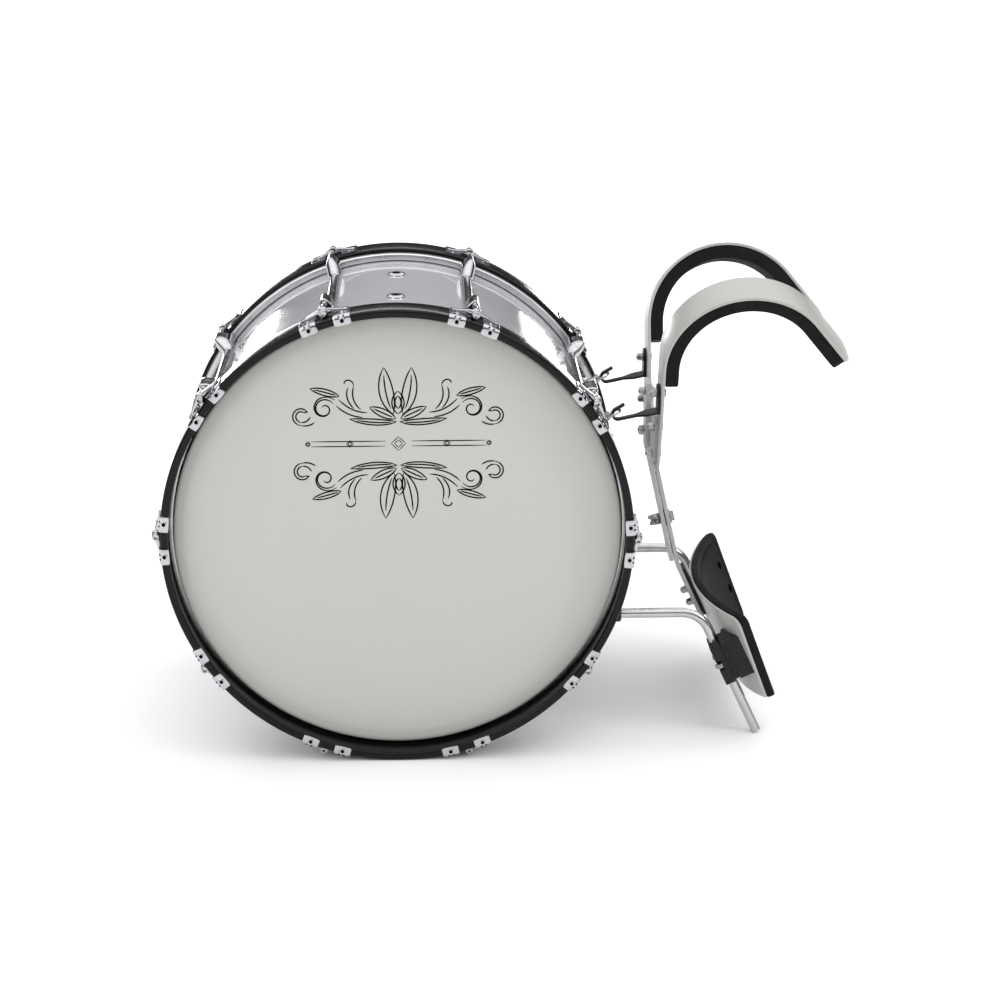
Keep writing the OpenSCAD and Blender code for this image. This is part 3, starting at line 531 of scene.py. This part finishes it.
def rod_surface():
    """Rings of one tension rod about its own axis; a point is (along, out, across)."""
    rings = []
    steps, rows, pitch = 24, 170, 1.27
    shank_r, thread_depth = 3.0, 0.42
    thread_from, thread_len, thread_to = 110.6, 36.0, 146.6

    def circle(y, r):
        return [(y, r * math.cos(2 * math.pi * i / steps), r * math.sin(2 * math.pi * i / steps))
                for i in range(steps)]

    rings.append(circle(110.0, 2.1))
    for j in range(rows):
        y = thread_from + thread_len * j / (rows - 1)
        fade = min(1.0, (thread_to - y) / 2.5)
        ring = []
        for i in range(steps):
            phase = (y / pitch - i / steps) % 1.0
            depth = thread_depth * abs(2 * phase - 1) * fade
            t = 2 * math.pi * i / steps
            ring.append((y, (shank_r - depth) * math.cos(t), (shank_r - depth) * math.sin(t)))
        rings.append(ring)
    for y, r in ((147.2, shank_r), (165.0, shank_r), (186.0, shank_r), (186.1, 5.3), (186.4, 5.8),
                 (187.2, 5.85), (187.7, 5.5), (188.0, 5.15), (194.6, 5.05), (195.5, 4.75), (195.95, 4.1),
                 (196.0, 3.3)):
        rings.append(circle(y, r))

    def square(y, half):
        """The key socket: a square ring with as many points as the round ones."""
        ring = []
        for i in range(steps):
            t = 2 * math.pi * i / steps
            c, s = math.cos(t), math.sin(t)
            k = half / max(abs(c), abs(s))
            ring.append((y, k * c, k * s))
        return ring

    rings += [square(195.7, 2.3), square(192.2, 2.2), square(192.1, 0.3)]
    return rings


def build_rods():
    surface = rod_surface()
    for name, k in SIDES:
        for i, deg in enumerate(LUG_DEG, 1):
            rod = Shape()
            rod.loft([[turn((ROD_R + a, k * y, b), deg) for y, a, b in ring] for ring in surface])
            rod.make(f"{name}_rod_{i}_threaded", ROD_CHROME, f"{name}_rod_{i}", [f"{name}_tension_rod_{i}"],
                     "chrome", sharp=40)


# ---------- Printed ornament ----------

SCROLL_LINE_W, RULE_W, LOZENGE_W = 1.85, 1.4, 1.2
PRINT_SINK, PRINT_RISE = 0.2, 0.1


def bezier(a, b, c, d):
    """A cubic curve from a to d, pulled towards b and c."""
    points = []
    steps = 18
    for i in range(steps + 1):
        t = i / steps
        s = 1 - t
        points.append(tuple(s ** 3 * a[j] + 3 * s * s * t * b[j] + 3 * s * t * t * c[j] + t ** 3 * d[j]
                            for j in (0, 1)))
    return points


def coil(cx, cy, r0, r1, a0, a1):
    """A spiral line about a centre, from radius r0 at angle a0 to r1 at a1."""
    points = []
    steps = 40
    for i in range(steps + 1):
        t = i / steps
        r, a = lerp(r0, r1, t ** 0.8), math.radians(lerp(a0, a1, t))
        points.append((cx + r * math.cos(a), cy + r * math.sin(a)))
    return points


def leaf(base, tip, left, right):
    """Two curved edges from base to tip and a short midrib: left and right are their bulges."""
    (bx, by), (tx, ty) = base, tip
    dx, dy = tx - bx, ty - by
    px, py = -dy, dx
    lines = []
    for bulge in (left, right):
        lines.append(bezier(base, (bx + dx * 0.25 + px * bulge, by + dy * 0.25 + py * bulge),
                            (bx + dx * 0.72 + px * bulge * 0.9, by + dy * 0.72 + py * bulge * 0.9), tip))
    mid = (left + right) / 2
    lines.append(bezier((bx + dx * 0.12 + px * mid * 0.4, by + dy * 0.12 + py * mid * 0.4),
                        (bx + dx * 0.35 + px * mid, by + dy * 0.35 + py * mid),
                        (bx + dx * 0.6 + px * mid, by + dy * 0.6 + py * mid),
                        (bx + dx * 0.84 + px * mid * 0.4, by + dy * 0.84 + py * mid * 0.4)))
    return lines


def scroll_lines():
    """Right half of a leaf scroll: x runs outwards from the middle, y up from its base line."""
    lines = []
    # tall middle leaf and half of the bud
    lines += leaf((6, 15), (17, 74), 0.13, -0.27)
    lines += [bezier((0, 15), (10, 21), (10, 37), (0, 44)), bezier((0, 22), (5, 25), (5, 34), (0, 38))]
    # leaves at the foot
    lines += leaf((3, 9), (35, 24), 0.20, -0.20)
    lines += leaf((2, 5), (60, 9), 0.04, -0.14)
    # stem and its scroll
    lines += [bezier((38, 17), (50, 17), (62, 22), (73, 34)), bezier((44, 11), (56, 12), (66, 16), (76, 26))]
    lines += [coil(91, 22, 17.5, 3.0, 140, -320), coil(91, 22, 13.5, 7.5, 150, -160)]
    # rising curl
    lines += [bezier((46, 21), (54, 28), (58, 38), (54, 51)), coil(62.5, 53, 8.8, 3.0, 190, 10),
              bezier((54, 22), (62, 30), (65, 39), (61, 49))]
    # upper leaf
    lines += leaf((72, 38), (108, 48), 0.16, -0.14)
    # outer scroll
    lines += [bezier((103, 5), (108, 1), (113, 0), (119, 1)), coil(119, 13, 12.0, 9.0, -90, 150),
              bezier((108, 12), (111, 7), (114, 5), (119, 5)), coil(119, 13, 8.0, 5.5, -90, 130),
              bezier((111.2, 17.5), (112.5, 19), (114, 18.5), (115.5, 17.2))]
    return lines


def ribbon(shape, points, width):
    """One flat printed line on the left head, tapered at both ends and a little proud of it."""
    back, front = -(HEAD_Y - PRINT_SINK), -(HEAD_Y + PRINT_RISE)
    n = len(points)
    rings = []
    for i, (x, z) in enumerate(points):
        ax, az = points[max(i - 1, 0)]
        bx, bz = points[min(i + 1, n - 1)]
        dx, dz = bx - ax, bz - az
        length = math.hypot(dx, dz) or 1.0
        px, pz = -dz / length, dx / length
        t = i / (n - 1)
        half = width / 2 * (0.45 + 0.55 * min(1.0, 6 * min(t, 1 - t)))
        rings.append([(x + px * half, back, z + pz * half), (x + px * half, front, z + pz * half),
                      (x - px * half, front, z - pz * half), (x - px * half, back, z - pz * half)])
    shape.loft(rings)


def build_ornament():
    """Two bands of leaf scroll with a double rule and lozenges between them."""
    art = Shape()
    centre_x, upper_z, lower_z = 2.0, 142.0, 96.0
    for line in scroll_lines():
        for flip in (-1, 1):
            ribbon(art, [(centre_x + flip * x, upper_z + y) for x, y in line], SCROLL_LINE_W)
            ribbon(art, [(centre_x + flip * x, lower_z - y) for x, y in line], SCROLL_LINE_W)
    # double rule with lozenges between the two bands
    middle = (upper_z + lower_z) / 2
    for flip in (-1, 1):
        for z in (-3.2, 3.2):
            ribbon(art, [(centre_x + flip * x, middle + z) for x in (16, 40, 64, 88, 108)], RULE_W)
    for x, size in ((0, 9), (-60, 4.5), (60, 4.5), (-112, 3.5), (112, 3.5)):
        for scale in (1.0, 0.55):
            s = size * scale
            corners = [(x + s, 0), (x, s), (x - s, 0), (x, -s), (x + s, 0)]
            for (x0, z0), (x1, z1) in zip(corners, corners[1:]):
                edge = [(x0, z0), ((x0 + x1) / 2, (z0 + z1) / 2), (x1, z1)]
                ribbon(art, [(centre_x + px, middle + pz) for px, pz in edge], LOZENGE_W)
    art.make("left_head_scroll_print", INK, "left_hoop_set", slot="black_plastic", sharp=60)


# ---------- Carrier ----------

ARCH_R, ARCH_T, FOAM_T, PAD_LEG = 107.0, 4.0, 17.0, 23.0
ARCH_TILT, ARCH_END = math.radians(18), math.radians(38)
ARCH_C = (441.0, 76.936, 209.237)
ARCH_W, ARCH_LEG, ARCH_REAR, ARCH_CORNER = 52.0, 166.0, 72.0, 15.0
PAD_HALF_W = 24.5


def arch_place(side):
    """Tilts an arch drawn upright and moves it to its side."""
    c, s = math.cos(ARCH_TILT), math.sin(ARCH_TILT)

    def place(p):
        x, y, z = p
        return (ARCH_C[0] + x, side * (ARCH_C[1] + y * c + z * s), ARCH_C[2] - y * s + z * c)
    return place


def arch_path(radius, leg, rear, steps_leg, steps_arc, steps_rear):
    """Stations along an arch at a radius: (x, z, normal x, normal z, length along from the leg's foot)."""
    stations = []
    for i in range(steps_leg):
        z = -leg + leg * i / steps_leg
        stations.append((-radius, z, -1.0, 0.0, leg + z))
    arc = math.pi - ARCH_END
    for i in range(steps_arc + 1):
        t = math.pi - arc * i / steps_arc
        stations.append((radius * math.cos(t), radius * math.sin(t), math.cos(t), math.sin(t),
                         leg + (math.pi - t) * ARCH_R))
    nx, nz = math.cos(ARCH_END), math.sin(ARCH_END)
    for i in range(1, steps_rear + 1):
        d = rear * i / steps_rear
        stations.append((radius * nx + d * nz, radius * nz - d * nx, nx, nz, leg + arc * ARCH_R + d))
    return stations


def leg_edges(s):
    """Inner and outer edge of the arch strip at a distance from the leg's foot."""
    points = [(0.0, 24.0, 28.0), (0.6, 19.5, 31.5), (2.0, 16.0, 35.0), (4.0, 13.0, 37.5), (7.0, 7.5, 40.0),
              (12.0, 4.2, 42.0), (20.0, 3.7, 43.2), (76.0, 0.4, 51.2), (90.0, 0.0, ARCH_W),
              (1000.0, 0.0, ARCH_W)]
    for (s0, a0, b0), (s1, a1, b1) in zip(points, points[1:]):
        if s <= s1:
            t = (s - s0) / (s1 - s0)
            return lerp(a0, a1, t), lerp(b0, b1, t)


def end_round(distance, corner):
    """How far each edge draws in near a rounded end."""
    if distance >= corner:
        return 0.0
    d = corner - max(distance, 0.0)
    return corner - math.sqrt(max(corner * corner - d * d, 0.0))


def build_arches():
    total = ARCH_LEG + (math.pi - ARCH_END) * ARCH_R + ARCH_REAR
    for name, k in SIDES:
        strip = Shape()
        rings = []
        for x, z, nx, nz, s in arch_path(ARCH_R - ARCH_T / 2, ARCH_LEG, ARCH_REAR, 84, 72, 36):
            a, b = leg_edges(s)
            pull = end_round(total - s, ARCH_CORNER)
            a, b = a + pull, b - pull
            if b - a < 1.5:
                mid = (a + b) / 2
                a, b = mid - 0.75, mid + 0.75
            half_w, mid = (b - a) / 2, (a + b) / 2
            section = rounded(half_w, ARCH_T / 2 - 0.02, 0.9, 3)
            rings.append([(x + nx * t, mid + w, z + nz * t) for w, t in section])
        strip.loft(rings, arch_place(k))
        strip.make(f"{name}_arch_strip", WHITE_COAT, "carrier_upper", [f"{name}_shoulder_arch"],
                   "white_coated_aluminium", sharp=50)


def build_shoulder_pads():
    """Die-cut foam with crisp corners, slightly crowned on the side that touches the shoulder."""
    outer = ARCH_R - ARCH_T
    rear = ARCH_REAR - 1
    total = PAD_LEG + (math.pi - ARCH_END) * ARCH_R + rear
    for name, k in SIDES:
        pad = Shape()
        rings = []
        for x, z, nx, nz, s in arch_path(outer - FOAM_T / 2, PAD_LEG, rear, 9, 90, 40):
            pull = end_round(total - s, ARCH_CORNER)
            half_w = max(PAD_HALF_W - pull, 3.0)
            crown = 0.5 * math.sin(s * 0.045) + 0.35 * math.sin(s * 0.13 + 1.0)
            end = min(1.0, s / 2.5, (total - s) / 2.5 + 0.2)
            section = []
            for w, t in rounded(half_w - 0.5 * (1 - end), FOAM_T / 2 - 0.15 - 0.6 * (1 - end), 1.6, 4):
                bulge = (1 - (w / 25.0) ** 2) * 0.55 + 0.12 * crown if t < 0 else 0.0
                out = t - bulge * 0.6 + 0.2
                section.append((x + nx * out, ARCH_W / 2 + w, z + nz * out))
            rings.append(section)
        pad.loft(rings, arch_place(k))
        piece = pad.make(f"{name}_shoulder_foam", FOAM, "carrier_upper", [f"{name}_shoulder_pad"],
                         "black_foam", sharp=55)


# ---------- Belly plate ----------

SPINE_TILT, BELLY_TILT = math.radians(12.8), math.radians(25)
SPINE_BEND_X, SPINE_BEND_Z = 324.5, 62.0
LOWER_OUT, LOWER_DOWN = 6.8, 172.0
BELLY_X, BELLY_R, BELLY_FOAM, BELLY_T = 10.0, 410.0, 10.0, 3.0
BELLY_HALF, BELLY_LOW_HALF = 170.0, 150.0
BELLY_S = (30.0, 167.0)
BELLY_CROWN = (10.0, 4.0)
BELLY_TOP_CORNER, BELLY_LOW_CORNER = 12.0, 4.0
CROWN_STEPS, EDGE_STEPS = 24, 20
CLAMP_X, CLAMP_Z, CLAMP_Y, CLAMP_BOLT_V = 419.6, -192.0, 142.0, 19.0
WELL_R = 6.0


def belly_origin():
    """The lower spine's bend, from which the belly plate is measured, as (x, z)."""
    return (SPINE_BEND_X + LOWER_OUT * math.cos(SPINE_TILT) + LOWER_DOWN * math.sin(SPINE_TILT),
            SPINE_BEND_Z + LOWER_OUT * math.sin(SPINE_TILT) - LOWER_DOWN * math.cos(SPINE_TILT))


def belly_point(y, s, depth):
    """A point of the belly shell: s runs down its slope, depth from its outer face to the player."""
    ox, oz = belly_origin()
    n = BELLY_X + BELLY_R - math.sqrt((BELLY_R - depth) ** 2 - y * y)
    c, d = math.cos(BELLY_TILT), math.sin(BELLY_TILT)
    return (ox + n * c + s * d, y, oz + n * d - s * c)


def belly_outline(grow):
    """The tapered outline as (across, down the slope), with rounded corners."""
    top, low = BELLY_HALF + grow - BELLY_TOP_CORNER, BELLY_LOW_HALF + grow - BELLY_LOW_CORNER
    s0, s1 = BELLY_S[0] - grow, BELLY_S[1] + grow

    def corner(y, s, radius, start, end, steps):
        angles = [math.radians(lerp(start, end, i / steps)) for i in range(steps + 1)]
        return [(y + radius * math.cos(a), s - radius * math.sin(a)) for a in angles]
    right = [(top * i / CROWN_STEPS, s0 + BELLY_CROWN[0] * (i / CROWN_STEPS) ** 2) for i in range(CROWN_STEPS)]
    right += corner(top, s0 + BELLY_CROWN[0] + BELLY_TOP_CORNER, BELLY_TOP_CORNER, 90, -10, 10)
    (y0, z0), (y1, z1) = right[-1], (low + BELLY_LOW_CORNER * math.cos(math.radians(10)), s1 - 3.3)
    right += [(lerp(y0, y1, i / EDGE_STEPS), lerp(z0, z1, i / EDGE_STEPS)) for i in range(1, EDGE_STEPS)]
    right += corner(low, s1 - BELLY_LOW_CORNER, BELLY_LOW_CORNER, -10, -90, 6)
    right += [(low * i / CROWN_STEPS, s1 + BELLY_CROWN[1] * (1 - (i / CROWN_STEPS) ** 2))
              for i in range(CROWN_STEPS - 1, -1, -1)]
    return right + [(-y, s) for y, s in reversed(right[1:-1])]


def belly_slab(d0, d1, grow, round_r, groove=0.0):
    """Concentric loops from the middle line of the outer face round the edge to the inner face,
    which has a pressed line along its border, groove deep."""
    outline = belly_outline(grow)
    half_y = BELLY_HALF + grow
    half_s = (BELLY_S[1] - BELLY_S[0]) / 2 + grow
    mid_s = (BELLY_S[0] + BELLY_S[1]) / 2 + 3.0

    def loop(inner, depth):
        """The outline drawn in by inner, at a depth."""
        narrow, short = half_y - inner, max(half_s - inner, 0.4)
        return [belly_point(y * narrow / half_y, mid_s + (s - mid_s) * short / half_s, depth)
                for y, s in outline]
    face = [half_s - 0.3, 56.0, 44.0, 32.0, 20.0, 12.0, 6.0, 3.5]
    turns = [math.radians(22.5 * i) for i in range(5)]
    rings = [loop(inner, d0) for inner in face]
    rings += [loop(round_r * (1 - math.sin(a)), d0 + round_r * (1 - math.cos(a))) for a in turns]
    rings += [loop(round_r * (1 - math.cos(a)), d1 - round_r * (1 - math.sin(a))) for a in turns]
    for inner in (3.5, 9.0, 10.6, 12.4, 14.0, 20.0, 32.0, 44.0, 56.0, half_s - 0.3):
        rings.append(loop(inner, d1 - groove * (10.0 < inner < 13.0)))
    return rings


def belly_cap(count):
    """Faces that close the innermost loop of the slab, which is as long as the curve and very thin."""
    low, last = count // 2, CROWN_STEPS - 1
    right = [[i, i + 1, low - i - 1, low - i] for i in range(last)] + [list(range(last, low - last + 1))]
    return right + [[(count - i) % count for i in face] for face in right]


def build_belly():
    plate = Shape()
    cap = belly_cap(len(belly_outline(0.0)))
    plate.loft(belly_slab(0.0, BELLY_T, 0.0, 0.9), cap=cap)
    plate.make("belly_plate_shell", WHITE_COAT, "carrier_lower", ["belly_plate"], "white_coated_aluminium",
               sharp=45)
    pad = Shape()
    depth = BELLY_T + BELLY_FOAM
    pad.loft(belly_slab(3.05, depth - 0.1, 1.4, 2.6, 1.6), cap=cap)
    piece = pad.make("belly_foam", FOAM, "carrier_lower", ["belly_pad"], "black_foam", sharp=50)
    # painted shade: near-black discs on the foam stand for the shadowed bolt wells, which are not cut into it.
    well_shade_discs = Shape()
    ox, oz = belly_origin()
    c, d = math.cos(BELLY_TILT), math.sin(BELLY_TILT)
    clamp_s = (CLAMP_X - ox) * d - (CLAMP_Z - oz) * c
    places = [(0.0, s) for s in (40.0, 59.0)]
    places += [(CLAMP_Y * k, clamp_s + v) for k in (-1, 1) for v in (-CLAMP_BOLT_V, CLAMP_BOLT_V)]
    for y, s in places:
        centre = belly_point(y, s, depth - 0.1)
        lean = math.asin(y / (BELLY_R - depth))
        axis = (math.cos(lean) * c, -math.sin(lean), math.cos(lean) * d)
        well_shade_discs.spin([(-1.5, WELL_R), (0.16, WELL_R), (0.16, 0.3)], centre, axis, 28)
    well_shade_discs.make("belly_foam_bolt_well_shade", RECESS_SHADE_PAINT, "carrier_lower", slot="black_plastic")


# ---------- CAD nodes that keep their own mesh ----------

def refine(node, material, bevel=0.0):
    """Gives a CAD node its material and, with a bevel, welds its faces and rounds its edges."""
    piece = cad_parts[node]
    piece.data.materials.clear()
    piece.data.materials.append(material)
    if bevel:
        weld = piece.modifiers.new("weld", "WELD")
        weld.merge_threshold = 1e-6
        made = add_bevel(piece, bevel, 40)
        made.use_clamp_overlap = True


def finish_cad_nodes():
    refine("shell", WHITE_SHELL)
    refine("shell_fasteners", ZINC)
    refine("vent_grommets", CHROME)
    refine("eye_bolts", CHROME)
    for name, _ in SIDES:
        refine(f"{name}_eye_ring", CHROME)
        refine(f"{name}_hook", BLACK_STEEL, 0.45)
        refine(f"{name}_support_rod", BARE_ALLOY)
        refine(f"{name}_rod_tip", RUBBER, 0.5)
    refine("cross_plate", WHITE_COAT)
    refine("upper_spine", WHITE_COAT, 0.6)
    refine("lower_spine", WHITE_COAT, 0.6)
    refine("spine_washer", BLACK_PLASTIC)
    refine("carrier_bolts", ZINC, 0.35)
    refine("lock_wing_nut", ZINC, 0.5)
    refine("belly_spacer", BLACK_PLASTIC, 0.6)
    refine("belly_bolts", ZINC, 0.35)
    refine("rod_clamp_blocks", BLACK_PLASTIC, 0.7)
    refine("rod_clamp_caps", BLACK_PLASTIC, 0.7)
    refine("clamp_bolts", ZINC, 0.3)


# ---------- Stage, light and camera ----------

def build_stage():
    mesh = bpy.data.meshes.new("floor")
    size = 30.0
    corners = [(-size, -size, 0), (size, -size, 0), (size, size, 0), (-size, size, 0)]
    mesh.from_pydata(corners, [], [[0, 1, 2, 3]])
    floor = bpy.data.objects.new("floor", mesh)
    floor.location = (0, 0, -0.0003)
    bpy.context.scene.collection.objects.link(floor)
    n = Nodes("pale_floor")
    n.set(Base_Color=n.ramp(n.noise(3.0, 2.0), (0.4, (0.93, 0.93, 0.93)), (0.7, (0.95, 0.95, 0.95))),
          Roughness=0.85, Specular_IOR_Level=0.1)
    mesh.materials.append(n.mat)


def area_light(name, place, aim, size, power):
    data = bpy.data.lights.new(name, "AREA")
    data.shape = "RECTANGLE"
    data.size, data.size_y = size
    data.energy = power
    lamp = bpy.data.objects.new(name, data)
    lamp.location = place
    lamp.visible_camera = False
    lamp.rotation_mode = "QUATERNION"
    lamp.rotation_quaternion = (Vector(aim) - Vector(place)).to_track_quat("-Z", "Y")
    bpy.context.scene.collection.objects.link(lamp)


def build_light():
    """A bright ceiling over a dark horizon, and softboxes for the highlights."""
    world = bpy.data.worlds.new("studio")
    world.use_nodes = True
    tree = world.node_tree
    place = tree.nodes.new("ShaderNodeTexCoord")
    split = tree.nodes.new("ShaderNodeSeparateXYZ")
    ramp = tree.nodes.new("ShaderNodeValToRGB")
    elements = ramp.color_ramp.elements
    elements.new(0.28)
    elements.new(0.52)
    for element, (position, grey) in zip(elements, ((0.0, 0.02), (0.28, 0.05), (0.52, 0.62), (0.85, 1.0))):
        element.position = position
        element.color = (grey, grey, grey * 1.01, 1)
    tree.links.new(place.outputs["Generated"], split.inputs["Vector"])
    tree.links.new(split.outputs["Z"], ramp.inputs["Fac"])
    tree.links.new(ramp.outputs["Color"], tree.nodes["Background"].inputs["Color"])
    tree.nodes["Background"].inputs["Strength"].default_value = 1.75
    # the wall behind the horizon is plain and pale where it is seen directly
    wall = tree.nodes.new("ShaderNodeBackground")
    wall.inputs["Color"].default_value = (0.97, 0.97, 0.97, 1)
    seen = tree.nodes.new("ShaderNodeLightPath")
    mix = tree.nodes.new("ShaderNodeMixShader")
    tree.links.new(seen.outputs["Is Camera Ray"], mix.inputs[0])
    tree.links.new(tree.nodes["Background"].outputs[0], mix.inputs[1])
    tree.links.new(wall.outputs[0], mix.inputs[2])
    tree.links.new(mix.outputs[0], tree.nodes["World Output"].inputs["Surface"])
    bpy.context.scene.world = world
    area_light("front_softbox", (-1.9, -2.6, 1.5), (0.0, 0.0, 0.3), (0.8, 1.4), 12)
    area_light("side_strip", (2.4, -1.2, 1.3), (0.2, 0.0, 0.3), (0.3, 1.8), 12)
    area_light("back_left_softbox", (-1.15, 3.4, 0.35), (-0.1, 0.0, 0.35), (0.7, 0.55), 11)
    area_light("back_right_softbox", (1.0, 3.4, 0.35), (-0.1, 0.0, 0.35), (0.45, 0.55), 7)
    area_light("back_top_strip", (-0.1, 3.4, 1.75), (-0.1, 0.0, 0.4), (2.2, 0.16), 3)


def build_camera():
    data = bpy.data.cameras.new("camera")
    data.sensor_width = 36.0
    data.lens = 84.09
    camera = bpy.data.objects.new("camera", data)
    camera.location = (-0.1013, -2.9565, 1.2217)
    azimuth, elevation = math.radians(2.0106), math.radians(17.622)
    forward = Vector((math.sin(azimuth) * math.cos(elevation), math.cos(azimuth) * math.cos(elevation),
                      -math.sin(elevation)))
    camera.rotation_mode = "QUATERNION"
    camera.rotation_quaternion = forward.to_track_quat("-Z", "Y")
    bpy.context.scene.collection.objects.link(camera)
    bpy.context.scene.camera = camera


build_camera()
bpy.context.scene.view_settings.view_transform = "Standard"
build_stage()
build_light()
build_lugs()
build_flesh_hoops()
build_counterhoops()
build_heads()
build_claws()
build_yokes()
build_rods()
build_ornament()
build_arches()
build_shoulder_pads()
build_belly()
finish_cad_nodes()
